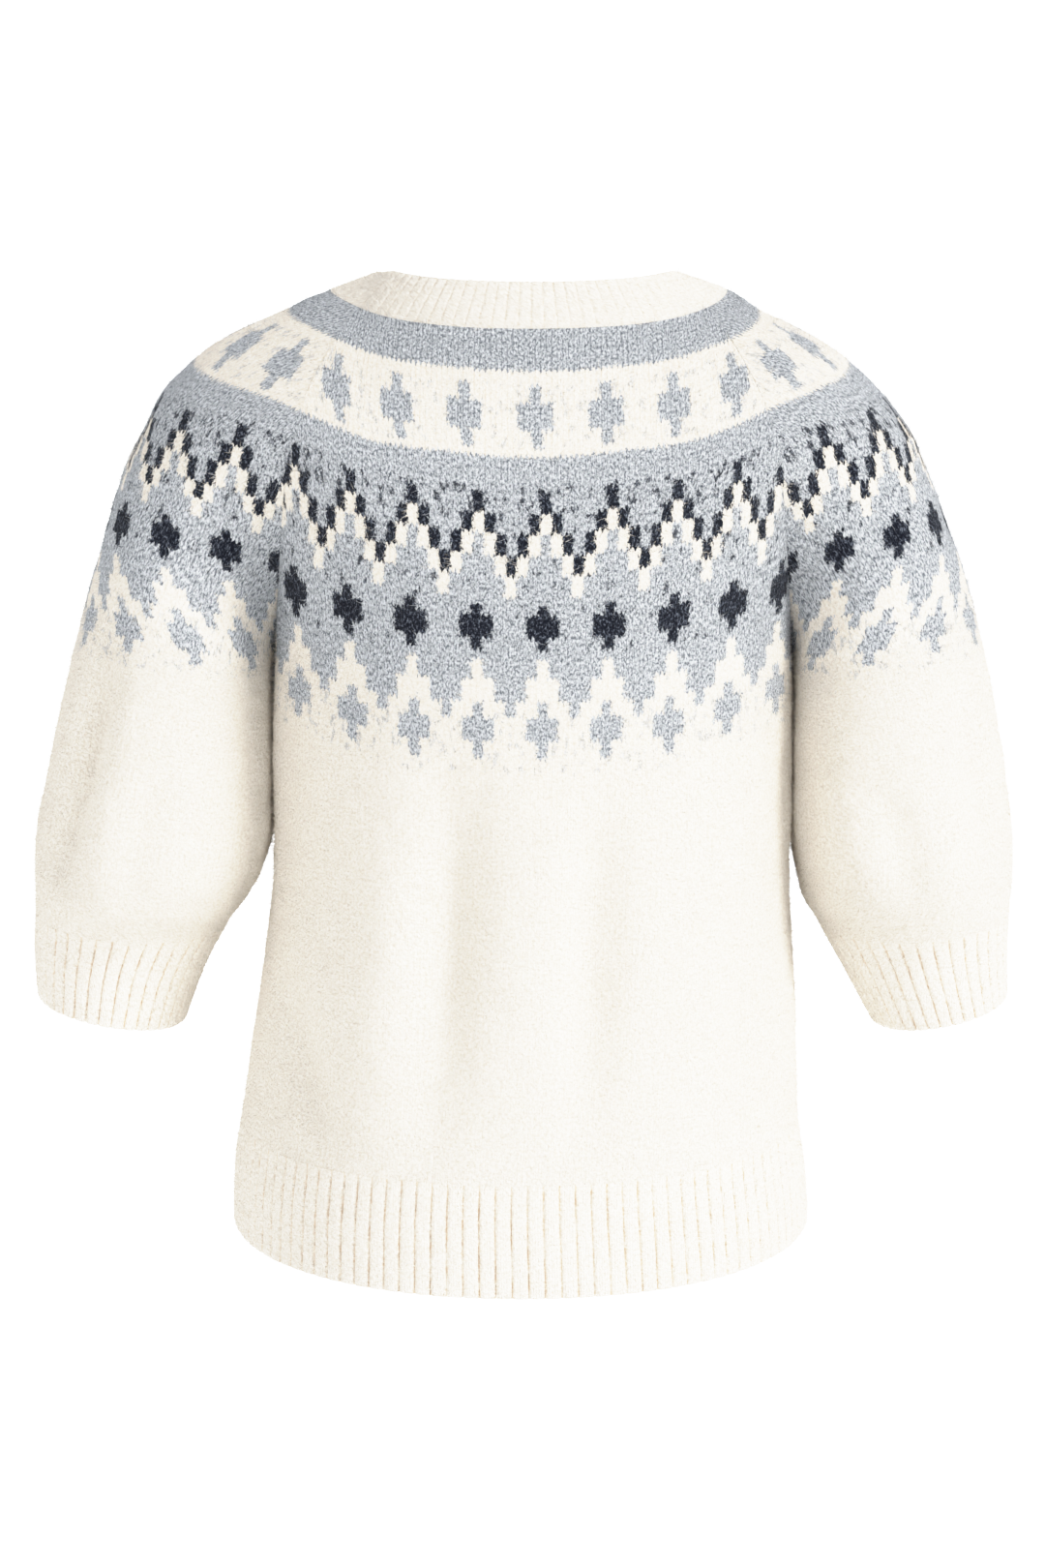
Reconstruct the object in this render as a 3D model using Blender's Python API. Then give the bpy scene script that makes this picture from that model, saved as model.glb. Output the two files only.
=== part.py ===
"""Round-yoke sweater with short balloon sleeves, filled out as if it were worn.

Run with: blender --background --python part.py
Metres, +Z up. The back of the sweater faces -Y and the lower front of its neck faces +Y. The
origin lies in the middle of the neck opening, level with the shoulder ends of the neckband seam.

Every piece is a wall between an outer and an inner grid of points. A row of a grid runs round
the sweater and is named by its drop, the knitted distance below the neckband seam. A point of
a row is named by its across, from -1 to 1, counterclockwise seen from above. The back and the
front run from side to side, and meet the sleeves at the raglan seams, which end under the
arms. From there down the back and the front meet each other, and each sleeve meets itself.
"""

import bpy
import numpy as np

# ---------------------------------------------------------------- driving sizes

PANEL_THICK = 0.0030        # brushed knit of back, front and sleeves
RIB_THICK = 0.0034          # ribbed edges, over a rib
RIB_RELIEF = 0.0015         # depth of the groove between two ribs
NECK_RELIEF = 0.0011
GROOVE_SHARE = 0.36         # part of a rib's pitch taken by its groove
SEAM_GAP = 0.0003
SKIN_INSET = 0.0002         # outer faces lie this far inside the drafted form

NECK_DROP = -0.0300         # upper edge of the neckband
UNDERARM_DROP = 0.2000      # where the raglan seams end
HEM_DROP = 0.4815           # top and lower edge of the hem rib
HEM_END_DROP = 0.5465
CUFF_DROP = 0.3920          # top and lower edge of the cuff rib
CUFF_END_DROP = 0.4470

NECK_RIBS = 84
HEM_RIBS = 53               # on the back, and as many on the front
CUFF_RIBS = 38
COLUMNS_PER_RIB = 3         # middle of the groove and the two upper edges of the rib

YOKE_ROWS = 9
BODY_ROWS = 10
SLEEVE_ROWS = 9
RIB_ROWS = 3
BODY_COLUMNS = 27
SLEEVE_COLUMNS = 25

ARC_POINTS = 96             # points on an arc when it is divided by length
STEP = 0.0005               # for slopes, in metres of drop and in units of across
AXIS_STEP = 0.0100          # for the direction in which a tube runs, in metres of drop
LEVEL_BLEND = 0.0400        # below the underarms, drop in which a wall turns level with its row
UPWARD_BLEND = 0.0300       # above the underarms, drop in which the raglan walls turn upward
FOLD_ENDING = 1.5           # a higher power lets a fold fade in and out more gently
SHARP_ANGLE = 35            # degrees
SHORTEST = 1e-12            # below this a vector has no direction

BACK, FRONT = -1, 1         # facing, as the sign of Y
LEFT, RIGHT = -1, 1         # side, as the sign of X

CREAM = (0.86, 0.82, 0.74, 1.0)
RIB_CREAM = (0.84, 0.80, 0.71, 1.0)


def table(columns, *rows):
    """A dict of named columns from rows of numbers."""
    return dict(zip(columns.split(), np.array(rows, float).T))


# Middle of the back and of the front.
MIDDLE = table(
    "drop    x       back_y  back_z  front_y front_z",
    (-0.0300, 0.0056, -0.0700, 0.0122, 0.0520, -0.0360),
    (0.0000, 0.0058, -0.0850, -0.0120, 0.0700, -0.0600),
    (0.0260, 0.0058, -0.1000, -0.0330, 0.0830, -0.0820),
    (0.0730, 0.0058, -0.1150, -0.0770, 0.1020, -0.1250),
    (0.1000, 0.0060, -0.1200, -0.1040, 0.1100, -0.1510),
    (0.1500, 0.0062, -0.1250, -0.1540, 0.1210, -0.1990),
    (0.2000, 0.0063, -0.1250, -0.2040, 0.1280, -0.2480),
    (0.2430, 0.0058, -0.1240, -0.2470, 0.1300, -0.2880),
    (0.3000, 0.0056, -0.1230, -0.3040, 0.1300, -0.3370),
    (0.4000, 0.0030, -0.1260, -0.4040, 0.1270, -0.4200),
    (0.4500, 0.0002, -0.1300, -0.4540, 0.1270, -0.4620),
    (0.4815, -0.0016, -0.1345, -0.4855, 0.1295, -0.4880),
    (0.5465, -0.0010, -0.1420, -0.5505, 0.1350, -0.5520),
)

# Raglan seams. A turn is the heading of a row in plan at the seam: 0 runs straight out across
# the body, 90 from back to front. Rise and lift are how steeply the rows of the body and the
# sleeve climb there, away from the middle.
RAGLAN = table(
    "drop x back_y back_z front_y front_z body_turn sleeve_turn"
    " back_rise back_lift front_rise front_lift",
    (-0.030, 0.0760, -0.0340, 0.0140, 0.0220, 0.0010, 60, 60, 2, -4, 35, 35),
    (0.000, 0.0960, -0.0400, -0.0060, 0.0320, -0.0180, 55, 55, 8, 8, 33, 33),
    (0.026, 0.1070, -0.0580, -0.0190, 0.0530, -0.0350, 45, 45, 12, 12, 30, 30),
    (0.073, 0.1250, -0.0840, -0.0510, 0.0820, -0.0690, 31, 29, 18, 18, 27, 27),
    (0.100, 0.1325, -0.0900, -0.0740, 0.0885, -0.0920, 33, 23, 18, 20, 24, 24),
    (0.125, 0.1370, -0.0790, -0.1030, 0.0790, -0.1170, 46, 6, 13, 22, 20, 22),
    (0.150, 0.1410, -0.0580, -0.1360, 0.0600, -0.1450, 61, -24, 7, 22, 16, 20),
    (0.175, 0.1450, -0.0320, -0.1740, 0.0335, -0.1780, 76, -60, 1, 13, 10, 12),
    (0.200, 0.1485, 0.0000, -0.2100, 0.0000, -0.2100, 90, -90, -4, 0, 4, 0),
)

# Side seams below the arms. The rows climb there from front to back.
SIDE = table(
    "drop    x       y       z       rise",
    (0.2000, 0.1485, 0.0000, -0.2100, 4.0),
    (0.2430, 0.1485, 0.0000, -0.2540, 4.0),
    (0.3000, 0.1492, 0.0000, -0.3110, 3.0),
    (0.3450, 0.1514, 0.0000, -0.3530, 2.0),
    (0.4000, 0.1573, 0.0000, -0.4070, 1.5),
    (0.4500, 0.1619, 0.0000, -0.4560, 0.5),
    (0.4815, 0.1653, 0.0000, -0.4880, 0.0),
    (0.5130, 0.1698, 0.0000, -0.5190, 0.0),
    (0.5465, 0.1716, 0.0000, -0.5510, 0.0),
)

# Shoulder line: over the shoulder and down the outside of the sleeve.
SHOULDER = table(
    "drop    left_x  right_x y      z",
    (-0.0300, 0.0810, 0.0860, 0.000, 0.0095),
    (0.0000, 0.1080, 0.1150, 0.000, -0.0005),
    (0.0260, 0.1310, 0.1320, 0.002, -0.0110),
    (0.0730, 0.1840, 0.1815, 0.004, -0.0390),
    (0.0920, 0.2035, 0.2025, 0.005, -0.0580),
    (0.1150, 0.2155, 0.2195, 0.006, -0.0800),
    (0.1400, 0.2265, 0.2300, 0.006, -0.1020),
    (0.1680, 0.2375, 0.2430, 0.006, -0.1350),
    (0.1850, 0.2440, 0.2510, 0.006, -0.1560),
    (0.2430, 0.2600, 0.2670, 0.006, -0.2120),
    (0.3000, 0.2740, 0.2790, 0.006, -0.2700),
    (0.3450, 0.2840, 0.2860, 0.007, -0.3180),
    (0.3700, 0.2858, 0.2870, 0.008, -0.3420),
    (0.3920, 0.2862, 0.2862, 0.009, -0.3640),
    (0.4200, 0.2880, 0.2860, 0.010, -0.3890),
    (0.4470, 0.2870, 0.2870, 0.011, -0.4160),
)

# Underarm seams, down the inside of the sleeves.
UNDERARM = table(
    "drop    left_x  right_x y      z",
    (0.2000, 0.1485, 0.1485, 0.000, -0.2100),
    (0.2430, 0.1496, 0.1491, 0.002, -0.2420),
    (0.3000, 0.1501, 0.1493, 0.003, -0.2900),
    (0.3250, 0.1512, 0.1498, 0.004, -0.3140),
    (0.3450, 0.1570, 0.1531, 0.004, -0.3340),
    (0.3700, 0.1675, 0.1577, 0.006, -0.3540),
    (0.3920, 0.1792, 0.1674, 0.008, -0.3720),
    (0.4200, 0.1942, 0.1833, 0.010, -0.4010),
    (0.4470, 0.2060, 0.2004, 0.011, -0.4330),
)

# How strongly a half row is pulled along its heading at each of its ends, above the underarms
# and below them. A longer pull makes a fuller curve.
YOKE_PULL = table(
    "drop    middle  body    sleeve  shoulder",
    (-0.030, 0.0945, 0.0945, 0.0340, 0.0340),
    (0.000, 0.1170, 0.1170, 0.0480, 0.0480),
    (0.026, 0.1310, 0.1280, 0.0720, 0.0720),
    (0.073, 0.1565, 0.1445, 0.1180, 0.1180),
    (0.100, 0.1700, 0.1500, 0.1440, 0.1530),
    (0.125, 0.1790, 0.1480, 0.1470, 0.1800),
    (0.150, 0.1930, 0.1500, 0.1520, 0.2080),
    (0.175, 0.2230, 0.1690, 0.2080, 0.2530),
    (0.200, 0.2620, 0.2135, 0.2930, 0.2930),
)
LOW_PULL = table(
    "drop    middle  body    sleeve  shoulder",
    (0.2000, 0.2620, 0.2135, 0.2930, 0.2930),
    (0.2430, 0.2640, 0.2135, 0.3060, 0.3060),
    (0.3000, 0.2640, 0.2140, 0.3180, 0.3180),
    (0.3450, 0.2660, 0.2155, 0.3160, 0.3160),
    (0.3700, 0.2685, 0.2180, 0.2960, 0.2960),
    (0.3920, 0.2710, 0.2195, 0.2440, 0.2440),
    (0.4470, 0.2785, 0.2265, 0.1900, 0.1900),
    (0.4815, 0.2877, 0.2344, 0.1900, 0.1900),
    (0.5465, 0.3007, 0.2450, 0.1900, 0.1900),
)

# Soft hanging folds of the body: a trough where depth is positive, a ridge where it is negative.
# Beside is the distance from the middle, positive towards +X.
BODY_FOLDS = table(
    "facing  drop_a  drop_b  beside_a beside_b width  depth",
    (-1, 0.215, 0.505, -0.041, -0.054, 0.022, 0.0115),
    (-1, 0.240, 0.470, -0.076, -0.092, 0.026, -0.0030),
    (-1, 0.225, 0.490, 0.038, 0.036, 0.019, 0.0085),
    (-1, 0.370, 0.505, -0.168, -0.108, 0.020, 0.0065),
    (-1, 0.300, 0.480, 0.128, 0.142, 0.018, 0.0030),
    (1, 0.225, 0.505, 0.036, 0.048, 0.023, 0.0075),
    (1, 0.250, 0.480, -0.052, -0.060, 0.020, 0.0055),
    (1, 0.245, 0.460, 0.090, 0.101, 0.026, -0.0028),
    (1, 0.370, 0.500, 0.162, 0.110, 0.020, 0.0045),
    (1, 0.330, 0.480, -0.126, -0.136, 0.018, 0.0030),
)

# Folds of the sleeves. Beside is the distance from the shoulder line, positive to the front.
SLEEVE_FOLDS = table(
    "side    drop_a  drop_b  beside_a beside_b width  depth",
    (-1, 0.200, 0.390, -0.057, -0.040, 0.016, 0.0075),
    (-1, 0.260, 0.392, -0.125, -0.108, 0.015, 0.0036),
    (-1, 0.220, 0.385, 0.066, 0.058, 0.018, 0.0052),
    (1, 0.215, 0.385, -0.070, -0.060, 0.017, 0.0040),
    (1, 0.270, 0.392, -0.128, -0.110, 0.016, 0.0045),
    (1, 0.210, 0.390, 0.052, 0.048, 0.018, 0.0046),
)

# ---------------------------------------------------------------- the form


def at(rows, column, drop):
    """A column of a table at any drop: a cubic through its rows, straight beyond its ends."""
    x, y = rows["drop"], rows[column]
    slope = np.gradient(y, x)
    k = np.clip(np.searchsorted(x, drop) - 1, 0, len(x) - 2)
    step = x[k + 1] - x[k]
    t = np.clip((drop - x[k]) / step, 0, 1)
    inside = (
        (1 + 2 * t) * (1 - t) ** 2 * y[k]
        + t * (1 - t) ** 2 * step * slope[k]
        + t * t * (3 - 2 * t) * y[k + 1]
        + t * t * (t - 1) * step * slope[k + 1]
    )
    before = np.minimum(drop - x[0], 0) * slope[0]
    beyond = np.maximum(drop - x[-1], 0) * slope[-1]
    return inside + before + beyond


def place(rows, x, y, z, drop):
    """Points from three columns of a table."""
    return np.stack([at(rows, column, drop) for column in (x, y, z)], -1)


def unit(vectors):
    return vectors / np.maximum(np.linalg.norm(vectors, axis=-1, keepdims=True), SHORTEST)


def name_of(side_or_facing, names):
    return names[0] if side_or_facing < 0 else names[1]


def heading(turn, rise, facing, side):
    """Direction of a row that runs outward from the middle."""
    turn, rise = np.radians(turn), np.radians(rise)
    level = np.cos(rise)
    return np.stack([side * np.cos(turn) * level, -facing * np.sin(turn) * level, np.sin(rise)], -1)


def arc(start, start_pull, end, end_pull, share):
    """Points on a cubic arc for each row, at these shares of its length."""
    t = np.linspace(0, 1, ARC_POINTS)[:, None, None]
    dense = (
        (1 + 2 * t) * (1 - t) ** 2 * start
        + t * (1 - t) ** 2 * start_pull
        + t * t * (3 - 2 * t) * end
        + t * t * (t - 1) * end_pull
    )
    run = np.linalg.norm(np.diff(dense, axis=0), axis=2).cumsum(0)
    run = np.concatenate([np.zeros((1, run.shape[1])), run]) / run[-1]
    points = np.empty(share.shape + (3,))
    for row in range(len(share)):
        for axis in range(3):
            points[row, :, axis] = np.interp(share[row], run[:, row], dense[:, row, axis])
    return points


def raglan(drop, facing, side):
    """A raglan seam."""
    end = name_of(facing, ("back", "front"))
    points = place(RAGLAN, "x", end + "_y", end + "_z", drop)
    points[:, 0] = points[:, 0] * side + at(MIDDLE, "x", drop)
    return points


def pull(column, drop):
    above = at(YOKE_PULL, column, drop)
    return np.where(drop < UNDERARM_DROP, above, at(LOW_PULL, column, drop))[:, None]


def body_half(drop, share, facing, side):
    """Half rows of the back or the front, from the middle out to a seam."""
    end = name_of(facing, ("back", "front"))
    middle = place(MIDDLE, "x", end + "_y", end + "_z", drop)
    low = place(SIDE, "x", "y", "z", drop)
    low[:, 0] = low[:, 0] * side + at(MIDDLE, "x", drop)
    above = drop < UNDERARM_DROP
    edge = np.where(above[:, None], raglan(drop, facing, side), low)
    turn = np.where(above, at(RAGLAN, "body_turn", drop), 90)
    rise = np.where(above, at(RAGLAN, end + "_rise", drop), facing * at(SIDE, "rise", drop))
    middle_pull = pull("middle", drop) * np.array([side, 0, 0])
    edge_pull = pull("body", drop) * heading(turn, rise, facing, side)
    return arc(middle, middle_pull, edge, edge_pull, share)


def sleeve_half(drop, share, facing, side):
    """Half rows of a sleeve, from its seam to the shoulder line."""
    end = name_of(facing, ("back", "front"))
    column = name_of(side, ("left_x", "right_x"))
    top = place(SHOULDER, column, "y", "z", drop) * np.array([side, 1, 1])
    low = place(UNDERARM, column, "y", "z", drop)
    low[:, 0] = low[:, 0] * side + at(MIDDLE, "x", np.minimum(drop, UNDERARM_DROP))
    above = drop < UNDERARM_DROP
    edge = np.where(above[:, None], raglan(drop, facing, side), low)
    turn = np.where(above, at(RAGLAN, "sleeve_turn", drop), -90)
    lift = np.where(above, at(RAGLAN, end + "_lift", drop), 0)
    edge_pull = pull("sleeve", drop) * heading(turn, lift, facing, side)
    top_pull = pull("shoulder", drop) * np.array([0, -facing, 0])
    return arc(edge, edge_pull, top, top_pull, share)


def rows_of(drop, across):
    """drop as a column of rows, and across spread over them."""
    drop = np.atleast_1d(np.asarray(drop, float))
    across = np.asarray(across, float)
    return drop, np.broadcast_to(across, (len(drop), across.shape[-1]))


def body(drop, across, facing):
    """Points of the back or the front."""
    drop, across = rows_of(drop, across)
    first = body_half(drop, np.clip(-across, 0, 1), facing, facing)
    second = body_half(drop, np.clip(across, 0, 1), facing, -facing)
    return np.where((across < 0)[..., None], first, second)


def sleeve(drop, across, side):
    """Points of a sleeve."""
    drop, across = rows_of(drop, across)
    first = sleeve_half(drop, np.clip(1 + across, 0, 1), -side, side)
    second = sleeve_half(drop, np.clip(1 - across, 0, 1), side, side)
    return np.where((across < 0)[..., None], first, second)


def row_lengths(surface, drop):
    points = surface(drop, np.linspace(-1, 1, ARC_POINTS))
    return np.linalg.norm(np.diff(points, axis=1), axis=2).sum(1)


def neck(drop, across):
    """Points round the neck, from the left raglan seam of the back over back, right shoulder,
    front and left shoulder."""
    drop, across = rows_of(drop, across)
    parts = (
        lambda d, a: body(d, a, BACK),
        lambda d, a: sleeve(d, a, RIGHT),
        lambda d, a: body(d, a, FRONT),
        lambda d, a: sleeve(d, a, LEFT),
    )
    middle_row = np.array([NECK_DROP / 2])
    ends = np.cumsum([row_lengths(part, middle_row)[0] for part in parts])
    ends = np.concatenate([[0], ends]) / ends[-1] * 2 - 1
    points = np.zeros(across.shape + (3,))
    for part, start, end in zip(parts, ends[:-1], ends[1:]):
        inside = (across >= start) & (across <= end)
        own = np.clip((across - start) / (end - start) * 2 - 1, -1, 1)
        points = np.where(inside[..., None], part(drop, own), points)
    return points


# ---------------------------------------------------------------- folds and walls


def bell(x):
    return np.exp(-(x**2))


def fold_depth(folds, chosen, drop, beside):
    """How far the folds push the knit in, at each drop and distance from the row's middle."""
    depth = np.zeros(beside.shape)
    for k in np.flatnonzero(chosen):
        fold = {column: values[k] for column, values in folds.items()}
        t = (drop - fold["drop_a"]) / (fold["drop_b"] - fold["drop_a"])
        inside = np.sin(np.pi * np.clip(t, 0, 1)) ** FOLD_ENDING
        centre = fold["beside_a"] + t * (fold["beside_b"] - fold["beside_a"])
        depth += fold["depth"] * inside * bell((beside - centre) / fold["width"])
    return depth


def body_push(facing):
    chosen = BODY_FOLDS["facing"] == facing
    return lambda drop, beside: fold_depth(BODY_FOLDS, chosen, drop, -facing * beside)


def sleeve_push(side):
    chosen = SLEEVE_FOLDS["side"] == side
    return lambda drop, beside: fold_depth(SLEEVE_FOLDS, chosen, drop, side * beside)


def no_push(drop, beside):
    return np.zeros(beside.shape)


def form(surface, push, drop, across):
    """Points of a surface, and the inward directions of its wall, at each drop and across."""
    drop, across = rows_of(drop, across)
    down = surface(drop + STEP, across) - surface(drop - STEP, across)
    ahead = np.clip(across + STEP, -1, 1)
    behind = np.clip(across - STEP, -1, 1)
    normal = unit(np.cross(down, surface(drop, ahead) - surface(drop, behind)))
    beside = across * row_lengths(surface, drop)[:, None] / 2
    points = surface(drop, across) - (SKIN_INSET + push(drop[:, None], beside))[..., None] * normal

    # Below the underarms the wall is measured in the plane of its row, so that rims are flat.
    centre_above = surface(drop - AXIS_STEP, across).mean(1)
    centre_below = surface(drop + AXIS_STEP, across).mean(1)
    axis = unit(centre_below - centre_above)[:, None]
    level = np.clip((drop - UNDERARM_DROP) / LEVEL_BLEND, 0, 1)[:, None, None]
    along = (normal * axis).sum(-1, keepdims=True)
    return points, unit(level * along * axis - normal)


def raglan_inward(drop, facing, side):
    """Inward direction that the two walls share at a raglan seam. It turns from the mean of
    their own directions to straight up where the seams of back and front meet."""
    down = unit(raglan(drop + STEP, facing, side) - raglan(drop - STEP, facing, side))
    end = name_of(facing, ("back", "front"))
    rise, lift = at(RAGLAN, end + "_rise", drop), at(RAGLAN, end + "_lift", drop)
    body_way = heading(at(RAGLAN, "body_turn", drop), rise, facing, side)
    sleeve_way = heading(at(RAGLAN, "sleeve_turn", drop), lift, facing, side)
    outward = side * facing * np.cross(body_way + sleeve_way, down)
    shared = unit(body_way - sleeve_way - outward)
    upward = np.clip((drop - UNDERARM_DROP) / UPWARD_BLEND + 1, 0, 1)[:, None] ** 2
    return unit((1 - upward) * shared + upward * np.array([0, 0, 1.0]))


def wall(name, outer, inner, closed, colour):
    """A closed wall between two grids. The outer grid may have several columns for one of the
    inner grid, and closed says that the last column meets the first."""
    rows = outer.shape[0]
    wide, narrow = outer.shape[1], inner.shape[1]
    spans = narrow if closed else narrow - 1
    ratio = wide // spans
    first_inner = rows * wide

    def out(row, column):
        return row * wide + column % wide

    def inn(row, column):
        return first_inner + row * narrow + column % narrow

    faces = []
    for row in range(rows - 1):
        for column in range(spans * ratio):
            after = column + 1
            left_side = (out(row, column), out(row + 1, column))
            faces.append(left_side + (out(row + 1, after), out(row, after)))
        for column in range(spans):
            after = column + 1
            left_side = (inn(row + 1, column), inn(row, column))
            faces.append(left_side + (inn(row, after), inn(row + 1, after)))
    for column in range(spans):
        edge = range(column * ratio, (column + 1) * ratio + 1)
        top = [out(0, k) for k in edge]
        foot = [out(rows - 1, k) for k in edge]
        faces.append(tuple(top) + (inn(0, column + 1), inn(0, column)))
        faces.append(tuple(reversed(foot)) + (inn(rows - 1, column), inn(rows - 1, column + 1)))
    if not closed:
        last = spans * ratio
        for row in range(rows - 1):
            faces.append((out(row, 0), inn(row, 0), inn(row + 1, 0), out(row + 1, 0)))
            faces.append((out(row, last), out(row + 1, last), inn(row + 1, spans), inn(row, spans)))

    mesh = bpy.data.meshes.new(name)
    points = np.concatenate([outer.reshape(-1, 3), inner.reshape(-1, 3)])
    mesh.from_pydata(points.tolist(), [], faces)
    mesh.validate()
    mesh.shade_smooth()
    mesh.set_sharp_from_angle(angle=np.radians(SHARP_ANGLE))
    mesh.materials.append(yarn(name, colour))
    piece = bpy.data.objects.new(name, mesh)
    bpy.data.collections["sweater"].objects.link(piece)
    return piece


def yarn(name, colour):
    """Matt wool."""
    material = bpy.data.materials.new(name + "_knit")
    material.use_nodes = True
    surface = material.node_tree.nodes["Principled BSDF"]
    surface.inputs["Base Color"].default_value = colour
    surface.inputs["Roughness"].default_value = 0.92
    surface.inputs["Metallic"].default_value = 0.0
    return material


# ---------------------------------------------------------------- the pieces


def trimmed(surface, drop, across):
    """across drawn in at both ends by half a seam gap."""
    return across * (1 - SEAM_GAP / row_lengths(surface, drop)[:, None])


def panel(name, surface, push, end_drop, low_rows, columns, seams, colour):
    """A knitted panel from the neckband to a rib. seams are the facing and side of the raglan
    seams at its first and its last column."""
    yoke = np.linspace(SEAM_GAP / 2, UNDERARM_DROP, YOKE_ROWS)
    low = np.linspace(UNDERARM_DROP, end_drop - SEAM_GAP / 2, low_rows)[1:]
    drop = np.concatenate([yoke, low])
    across = trimmed(surface, drop, np.linspace(-1, 1, columns))
    points, inward = form(surface, push, drop, across)
    for column, (facing, side) in zip((0, -1), seams):
        inward[:YOKE_ROWS, column] = raglan_inward(yoke, facing, side)
    return wall(name, points, points + PANEL_THICK * inward, False, colour)


def rib_columns(ribs):
    """Where a rib's groove and its two upper edges lie, in units of across from -1 to 1."""
    groove = GROOVE_SHARE / 2
    steps = (np.arange(ribs)[:, None] + np.array([0, groove, 1 - groove])).ravel()
    return np.append(steps, ribs) / ribs * 2 - 1


def rib(name, surface, drops, ribs, relief, closed, colour):
    """A ribbed edge between two drops, with its ribs raised over a plain inside."""
    drop = np.linspace(drops[0], drops[1], RIB_ROWS)
    across = np.broadcast_to(rib_columns(ribs), (RIB_ROWS, COLUMNS_PER_RIB * ribs + 1))
    if not closed:
        across = trimmed(surface, drop, across)
    points, inward = form(surface, no_push, drop, across)
    grooves = slice(None, None, COLUMNS_PER_RIB)
    inner = (points + RIB_THICK * inward)[:, grooves]
    outer = points.copy()
    outer[:, grooves] += relief * inward[:, grooves]
    if closed:
        outer, inner = outer[:, :-1], inner[:, :-1]
    return wall(name, outer, inner, closed, colour)


def build():
    for old in list(bpy.data.objects):
        bpy.data.objects.remove(old, do_unlink=True)
    sweater = bpy.data.collections.new("sweater")
    bpy.context.scene.collection.children.link(sweater)

    half_gap = SEAM_GAP / 2
    hem = (HEM_DROP + half_gap, HEM_END_DROP)
    for name, facing in (("back", BACK), ("front", FRONT)):
        surface = lambda drop, across, facing=facing: body(drop, across, facing)
        push = body_push(facing)
        seams = ((facing, facing), (facing, -facing))
        panel(name + "_panel", surface, push, HEM_DROP, BODY_ROWS, BODY_COLUMNS, seams, CREAM)
        rib("hem_rib_" + name, surface, hem, HEM_RIBS, RIB_RELIEF, False, RIB_CREAM)

    cuff = (CUFF_DROP + half_gap, CUFF_END_DROP)
    for name, side in (("left", LEFT), ("right", RIGHT)):
        surface = lambda drop, across, side=side: sleeve(drop, across, side)
        push = sleeve_push(side)
        seams = ((-side, side), (side, side))
        panel("sleeve_" + name, surface, push, CUFF_DROP, SLEEVE_ROWS, SLEEVE_COLUMNS, seams, CREAM)
        rib("cuff_" + name, surface, cuff, CUFF_RIBS, RIB_RELIEF, True, RIB_CREAM)

    rib("neckband", neck, (NECK_DROP, -half_gap), NECK_RIBS, NECK_RELIEF, True, RIB_CREAM)


if __name__ == "__main__":
    build()
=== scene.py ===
import math
from functools import partial

import bpy
import numpy as np
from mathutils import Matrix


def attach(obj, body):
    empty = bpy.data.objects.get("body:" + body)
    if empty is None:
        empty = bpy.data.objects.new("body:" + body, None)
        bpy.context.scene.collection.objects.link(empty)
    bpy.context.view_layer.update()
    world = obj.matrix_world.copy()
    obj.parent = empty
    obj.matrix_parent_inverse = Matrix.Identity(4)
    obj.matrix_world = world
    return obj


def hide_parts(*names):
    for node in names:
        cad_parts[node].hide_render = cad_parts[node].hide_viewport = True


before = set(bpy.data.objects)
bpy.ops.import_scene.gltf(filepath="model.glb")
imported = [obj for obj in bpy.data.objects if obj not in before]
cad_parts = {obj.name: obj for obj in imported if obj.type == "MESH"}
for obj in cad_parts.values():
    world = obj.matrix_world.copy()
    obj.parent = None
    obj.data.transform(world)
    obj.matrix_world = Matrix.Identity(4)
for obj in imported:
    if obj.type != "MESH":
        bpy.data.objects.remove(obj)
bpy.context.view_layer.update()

# Looks of a round-yoke sweater: a brushed knit with a charted yoke, ribbed edges and a haze of
# fibres, laid over the same form as its solids. Metres, Z up; the back faces -Y. A row of the
# knit is named by its drop, the distance knitted below the neckband seam, and a point in a row
# by its across, from -1 to 1, counterclockwise seen from above.

sweater = {
    "panelThick": 0.0030,
    "ribThick": 0.0034,
    "skinInset": 0.0002,
    "neckTop": -0.0300,
    "underarm": 0.2000,
    "arcPoints": 96,        # points on an arc when it is divided by length
    "step": 0.0005,         # for slopes
    "axisStep": 0.0100,
    "middle": 0.5,          # where the middle of every row lies in the knit's own map
    "levelBlend": 0.0400,   # below the underarms, a wall turns level with its row in this drop
    "upwardBlend": 0.0300,  # above them, the raglan walls turn upward in this drop
    "foldGain": 1.40,       # the shown folds are this many times as deep as the solids'
    "foldFade": 1.5,        # power of the sine that fades a fold in and out
    "sharpAngle": 50,       # degrees between faces above which an edge of a wall is sharp
}

back, front, left, right = -1, 1, -1, 1  # signs of Y and of X


# a dict of named columns from rows of numbers
def table(columns, *rows):
    return dict(zip(columns.split(), np.array(rows, float).T))


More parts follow.
